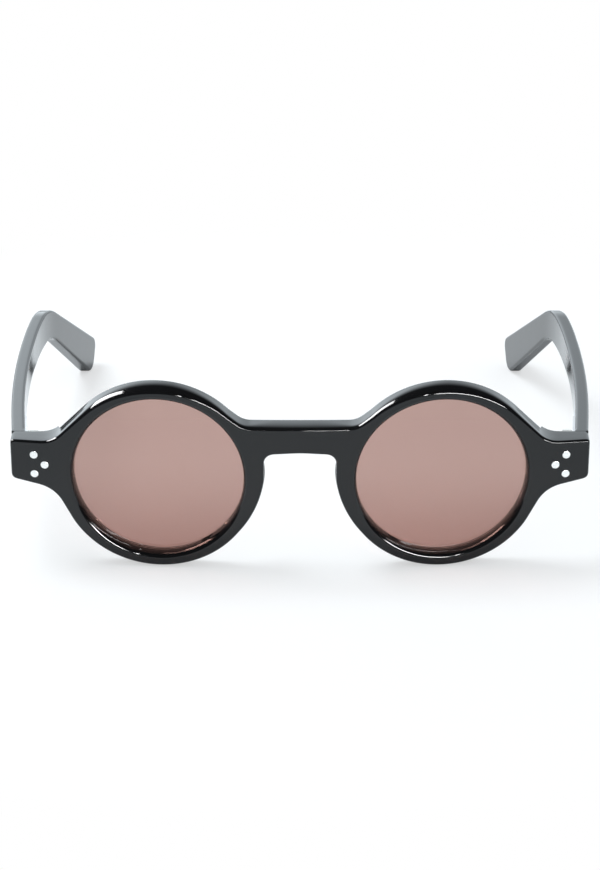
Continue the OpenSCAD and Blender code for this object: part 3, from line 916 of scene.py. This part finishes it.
side_line = evenly(rounded_outline(temple_side()), TEMPLE_STEP, TEMPLE_SOFTNESS)
for corner in ((BUTT_Y, BUTT_LOW), (BUTT_Y, BUTT_TOP)):
    side_line[np.argmin(np.sum((side_line - corner) ** 2, axis=1))] = corner


def temple_edge(points):
    """Crisp at the joint with the front, soft elsewhere."""
    near = np.clip((points[:, 0] - BUTT_Y) / BUTT_RUN, 0, 1)
    radius = BUTT_EDGE_R + (TEMPLE_EDGE_R - BUTT_EDGE_R) * near
    return radius, radius


def at_depth(depth):
    """A flat face at one depth."""
    return lambda points: np.full(len(points), depth)


def on_plan(points, side):
    """Plate coordinates (y, z, depth from the outer face) to the frame, in metres."""
    y, z, depth = points.T
    x = np.interp(y, plan[:, 1], plan[:, 0])
    slope = np.interp(y, plan[:, 1], np.gradient(plan[:, 0], plan[:, 1]))
    x = x - depth * np.sqrt(1 + slope ** 2)
    return MM * np.column_stack([side * x, FRONT_Y + y, z])


temple_points, temple_faces = rounded_plate(
    side_line, temple_edge(side_line), temple_edge(side_line),
    at_depth(0.0), at_depth(TEMPLE_T), TEMPLE_GRID,
)
for side, name in SIDES:
    piece(
        f"temple_arm_{name}", on_plan(temple_points, side), temple_faces,
        temple_black, f"{name}_temple", [f"temple_{name}"],
    )

# %% [markdown]
# The metal parts are small. Rivet heads are ground flush and polished, and hinges
# and screws are plain steel with a satin grain. A single grey would look like
# plastic at this size, so one group makes fine scratches for all of them, longer
# in the direction in which they were rubbed.

# %% Metal group
GRAIN_STRETCH = (1, 1, 6)              # six times as fine upwards as sideways
GRAIN_DETAIL = 3.0
GRAIN_ROUGHNESS = 0.15
SCRATCH_DEPTH = 0.0001                 # metres


def build_grain():
    """Scratches that change the roughness and the normal a little."""
    group, given = new_finish("metal_grain", {"Scale": 900.0, "Roughness": 0.2, "Strength": 0.1})
    stretched = node(group, "ShaderNodeVectorMath", [
        (0, object_space(group)), (1, GRAIN_STRETCH),
    ], operation="MULTIPLY").outputs["Vector"]
    scratches = noise(group, stretched, given["Scale"], GRAIN_DETAIL)
    rough = calculated(group, "MULTIPLY_ADD", scratches, GRAIN_ROUGHNESS, given["Roughness"])
    return close_finish(group, rough, scratches, given["Strength"], SCRATCH_DEPTH)


grain = build_grain()

# %% [markdown]
# Four steels differ in colour, roughness and scratches. The hinges, screws and
# cores keep the shapes of the construction, so only the material in their slot
# changes. The inside of a hinge shows when a temple folds, which is why they get a
# finish, too.

# %% Steels
STAIN_SCALE = 400.0


def metal(name, light, dark, roughness, scale, strength):
    """Steel that drifts between a light and a dark tone."""
    finish_values = {"Scale": scale, "Roughness": roughness, "Strength": strength}
    return two_tone(name, {"Metallic": 1.0}, (light, dark), STAIN_SCALE, grain, finish_values)


rivet_steel = metal("rivet_steel", (0.95, 0.945, 0.92, 1), (0.86, 0.855, 0.83, 1), 0.2, 700.0, 0.05)
hinge_steel = metal("hinge_steel", (0.62, 0.62, 0.63, 1), (0.5, 0.5, 0.51, 1), 0.25, 900.0, 0.12)
screw_steel = metal("screw_steel", (0.7, 0.69, 0.66, 1), (0.55, 0.54, 0.52, 1), 0.2, 1200.0, 0.1)
core_steel = metal("core_steel", (0.6, 0.6, 0.61, 1), (0.48, 0.48, 0.49, 1), 0.3, 500.0, 0.15)

METAL_NODES = {
    "front_hinge": hinge_steel, "temple_hinge": hinge_steel,
    "hinge_screw": screw_steel, "temple_core": core_steel,
}
for start, material in METAL_NODES.items():
    for side, name in SIDES:
        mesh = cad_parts[f"{start}_{name}"].data
        mesh.materials.clear()
        mesh.materials.append(material)
print("metal on", 2 * len(METAL_NODES), "nodes")

# %% [markdown]
# The rivets on show are turned discs with a small domed head that stands a hair
# proud of the acetate. A plain cylinder would mirror one flat colour, and the dome
# catches a glint at any angle. In front there are three at each end, spread over
# the end piece between the lens and the temple.

# %% Rivets on the front
RIVET_R = 0.975
RIVET_PROUD = 0.05
RIVET_DOME = 0.2                       # extra height of the middle, as a share of that
RIVET_RIM = 0.06                       # radius of the head's rounded edge
RIVET_DEPTH = 0.5
RIVET_STEPS, DOME_RINGS = 32, 5
RIVET_PITCH = 5.1
OUTER_X, INNER_X = 64.31, 61.74        # from the middle of the bridge
FRONT_PLACES = [
    (OUTER_X, RIVET_Z + RIVET_PITCH / 2), (OUTER_X, RIVET_Z - RIVET_PITCH / 2), (INNER_X, RIVET_Z),
]


def rivet_profile():
    """Half the section of a rivet head, from the middle of its dome to the end of its shank."""
    flat_r = RIVET_R - RIVET_RIM
    dome = [
        (r, -RIVET_PROUD * (1 + RIVET_DOME * (1 - (r / RIVET_R) ** 2)))
        for r in np.linspace(0, flat_r, DOME_RINGS)
    ]
    turns = np.radians(np.linspace(0, 90, DOME_RINGS))[1:]
    edge = [
        (flat_r + RIVET_RIM * math.sin(t), -RIVET_PROUD + RIVET_RIM * (1 - math.cos(t)))
        for t in turns
    ]
    return dome + edge + [(RIVET_R, RIVET_DEPTH), (0, RIVET_DEPTH)]


def rivet_group(places, to_frame):
    """Several rivets as one mesh; to_frame takes disc coordinates and a place."""
    points, faces = lathe(rivet_profile(), RIVET_STEPS)
    all_points, all_faces = [], []
    for at in places:
        first = len(points) * len(all_points)
        all_faces += [tuple(v + first for v in f) for f in faces]
        all_points.append(to_frame(points, at))
    return np.vstack(all_points), all_faces


def on_front(side):
    """Lays a rivet onto the curved face of the front."""
    def to_frame(points, at):
        x = at[0]
        turn = math.asin(x / FACE_R)
        u, v, w = points.T
        return standing(np.column_stack([
            side * (x + u * math.cos(turn) - w * math.sin(turn)),
            sag(x) + u * math.sin(turn) + w * math.cos(turn),
            at[1] + v,
        ]))
    return to_frame


for side, name in SIDES:
    points, faces = rivet_group(FRONT_PLACES, on_front(side))
    piece(
        f"front_pins_{name}", points, faces, rivet_steel,
        "front", [f"front_rivets_{name}"],
    )

# %% [markdown]
# The temples have their own three rivets on the outside, where the second half of
# each hinge is held. They use the same turned head. Laid with the function that
# bends the temples, they follow the bow of the outer face.

# %% Rivets on the temples
LEAF_SINK, LEAF_T, BARREL_R, TURN_GAP = 0.5, 1.0, 1.5, 0.1    # sizes of the hinge
PIN_Y = BACK_Y - LEAF_SINK + LEAF_T + BARREL_R + TURN_GAP     # where its pin stands
TEMPLE_PITCH = 4.0
RIVET_STEP = 2.6
HINGE_LOW = 0.3                        # the hinge sits below the middle of the end piece
HINGE_Z = (BUTT_TOP + BUTT_LOW) / 2 - HINGE_LOW
LEAF_START = BARREL_R + 2 * TURN_GAP
LEAF_L = 12.0
FIRST_SHARE = 0.35                     # place of the first rivets along the leaf
FIRST_RIVET = LEAF_START + LEAF_L * FIRST_SHARE

splay = math.atan((plan[1][0] - plan[0][0]) / (plan[1][1] - plan[0][1]))
first_y = PIN_Y + FIRST_RIVET * math.cos(splay) - TEMPLE_T * math.sin(splay)
TEMPLE_PLACES = [
    (first_y, HINGE_Z + TEMPLE_PITCH / 2), (first_y, HINGE_Z - TEMPLE_PITCH / 2),
    (first_y + RIVET_STEP * math.cos(splay), HINGE_Z),
]


def on_temple(side):
    """Lays a rivet onto the outer face of a temple."""
    def to_frame(points, at):
        u, v, w = points.T
        return on_plan(np.column_stack([at[0] + u, at[1] + v, w]), side)
    return to_frame


for side, name in SIDES:
    points, faces = rivet_group(TEMPLE_PLACES, on_temple(side))
    piece(
        f"temple_pins_{name}", points, faces, rivet_steel,
        f"{name}_temple", [f"temple_rivets_{name}"],
    )

# %% [markdown]
# The photograph is a bright product picture on white. Black acetate shows what
# stands round it, so the room matters more than the lamps. Rays that reach the
# camera straight or through a lens should meet white, and rays that a polished
# surface mirrors should meet a cooler daylight. The Light Path node tells them
# apart.

# %% Kinds of rays
WHITE = (1, 1, 1, 1)
GLOSSY_WHITE = (0.86, 0.945, 1.0, 1)   # daylight from the windows, in the reflections


def ray_kinds(tree):
    """Masks for glossy rays, rays seen straight or through a lens, and mirrored rays."""
    rays = node(tree, "ShaderNodeLightPath").outputs
    glossy, through = rays["Is Glossy Ray"], rays["Is Transmission Ray"]
    seen = calculated(tree, "MAXIMUM", rays["Is Camera Ray"], through)
    mirrored = calculated(tree, "SUBTRACT", glossy, through, use_clamp=True)
    return glossy, seen, mirrored


print("mirrored daylight:", GLOSSY_WHITE[:3])

# %% [markdown]
# The floor is a sheet of paper. Near the glasses it is a real lit surface, which
# keeps their shadow, and it fades into plain white further out. Paper alone would
# turn grey towards its edges, and white alone would leave the glasses floating. In
# the reflections the table ends on the left, which gives the rims a dark side.

# %% The floor
FLOOR_SIZE = 6.0
FADE_START, FADE_END = 0.1, 0.2        # distance from the middle at which the paper fades
TABLE_START, TABLE_END = -0.13, -0.2   # x at which the table ends
TABLE_DARK = 0.1
FILL = 0.55                            # share of plain white near the glasses; the rest is lit
# The blue of the paper is painted cool light: it tints the paper's shadows and its reflections in the
# acetate
PAPER_WITH_COOL_LIGHT = (0.85, 0.91, 0.95, 1)


def floor_material():
    """Lit paper near the glasses and plain white farther out."""
    material = bpy.data.materials.new("white_ground")
    material.use_nodes = True
    tree = material.node_tree
    tree.nodes.clear()
    glossy, seen, mirrored = ray_kinds(tree)
    place = object_space(tree)
    distance = node(tree, "ShaderNodeVectorMath", [(0, place)], operation="LENGTH").outputs["Value"]
    fade = ramp(tree, distance, FADE_START, FADE_END, kind="SMOOTHSTEP")
    across = node(tree, "ShaderNodeSeparateXYZ", [("Vector", place)]).outputs["X"]
    table = ramp(tree, across, TABLE_END, TABLE_START, low=TABLE_DARK)
    level = calculated(tree, "MAXIMUM", calculated(tree, "MULTIPLY", seen, FILL), fade)
    share = calculated(tree, "MULTIPLY", level, calculated(tree, "MAXIMUM", seen, glossy))
    paper = node(tree, "ShaderNodeBsdfDiffuse", [("Color", PAPER_WITH_COOL_LIGHT)])
    white = node(tree, "ShaderNodeEmission", [
        ("Color", mixed(tree, mirrored, WHITE, GLOSSY_WHITE)),
        ("Strength", mixed(tree, mirrored, 1.0, table, "FLOAT")),
    ])
    mix = node(tree, "ShaderNodeMixShader", [
        (0, share), (1, paper.outputs["BSDF"]), (2, white.outputs["Emission"]),
    ])
    node(tree, "ShaderNodeOutputMaterial", [("Surface", mix.outputs["Shader"])])
    return material


ground = bpy.data.meshes.new("ground")
corners = [(x * FLOOR_SIZE / 2, y * FLOOR_SIZE / 2, 0) for x, y in ((-1, -1), (1, -1), (1, 1), (-1, 1))]
ground.from_pydata(corners, [], [(0, 1, 2, 3)])
ground.materials.append(floor_material())
floor = bpy.data.objects.new("ground", ground)
bpy.context.scene.collection.objects.link(floor)
print("floor", FLOOR_SIZE, "m wide, with a fill of", FILL)

# %% [markdown]
# Behind the glasses stands a large soft light that only reflections see. It makes
# the long grey bands on brow and temples. It could be a glowing sheet in the
# scene, but as a part of the world it needs no place, only directions: Y looks
# back from the camera, and X to the right of the picture.

# %% The world
SOFTBOX_START, SOFTBOX_END = 0.58, 0.88
SOFTBOX_DARK = 0.02                    # what is left outside it
LOW_START, LOW_END = 0.86, 0.94        # its lower part is dimmer
TOP_LEVEL, LOW_LEVEL = 2.6, 1.95
MIDDLE = 0.1                           # half width of the step from its left to its right side
LEFT_LEVEL, RIGHT_LEVEL = 1.14, 0.72
ROOM_LEVEL = 0.75                      # light from all round on matt surfaces


def world_light():
    """A softbox in the reflections, an even room for matt surfaces, and white for the camera."""
    world = bpy.data.worlds.new("studio")
    bpy.context.scene.world = world
    world.use_nodes = True
    tree = world.node_tree
    tree.nodes.clear()
    glossy, seen, mirrored = ray_kinds(tree)
    toward = node(tree, "ShaderNodeTexCoord").outputs["Generated"]
    along = node(tree, "ShaderNodeSeparateXYZ", [("Vector", toward)]).outputs
    softbox = ramp(tree, along["Y"], SOFTBOX_START, SOFTBOX_END, SOFTBOX_DARK, 1.0, "SMOOTHSTEP")
    lower = ramp(tree, along["Y"], LOW_START, LOW_END, TOP_LEVEL, LOW_LEVEL)
    sideways = ramp(tree, along["X"], -MIDDLE, MIDDLE, LEFT_LEVEL, RIGHT_LEVEL)
    behind = calculated(tree, "MULTIPLY", softbox, calculated(tree, "MULTIPLY", lower, sideways))
    unseen = mixed(tree, glossy, ROOM_LEVEL, behind, "FLOAT")
    sky = node(tree, "ShaderNodeBackground", [
        ("Color", mixed(tree, mirrored, WHITE, GLOSSY_WHITE)),
        ("Strength", mixed(tree, seen, unseen, 1.0, "FLOAT")),
    ])
    node(tree, "ShaderNodeOutputWorld", [("Surface", sky.outputs["Background"])])
    print("world:", len(tree.nodes), "nodes")


world_light()

# %% [markdown]
# One lamp overhead makes the soft shadow on the paper. The other three are cards
# that only polished surfaces see: a window at the left for the bright stroke on
# the left brow, a long thin card in front for the fine lines on the right of each
# brow, and a small one for the line on the bridge. Real cards would light the
# paper as well, and a lamp that is hidden from matt surfaces doesn't.

# %% Lamps
def lamp(name, place, aim_at, size, watts, glossy, diffuse=True):
    """A rectangular lamp that looks at a point; glossy and diffuse say which surfaces see it."""
    data = bpy.data.lights.new(name, "AREA")
    data.shape = "RECTANGLE"
    data.size, data.size_y = size
    data.energy = watts
    made = bpy.data.objects.new(name, data)
    made.location = place
    made.rotation_euler = (Vector(aim_at) - Vector(place)).to_track_quat("-Z", "Y").to_euler()
    made.visible_glossy = glossy
    made.visible_diffuse = diffuse
    bpy.context.scene.collection.objects.link(made)
    print("lamp", name, watts, "W")


lamp("overhead", (-0.45, 0.1, 0.9), (0, 0, 0), (0.5, 0.5), 6.0, False)
lamp("side_window", (-0.3, 0.15, 0.325), (0, 0.15, 0.325), (0.23, 0.29), 4.3, True, diffuse=False)
lamp("front_card", (0.55, -0.9, 0.42), (0, -0.07, 0.04), (0.95, 0.13), 30.0, True, diffuse=False)
lamp("bridge_card", (0.029, -0.96, 0.49), (0.006, -0.07, 0.038), (0.032, 0.13), 1.7, True, diffuse=False)
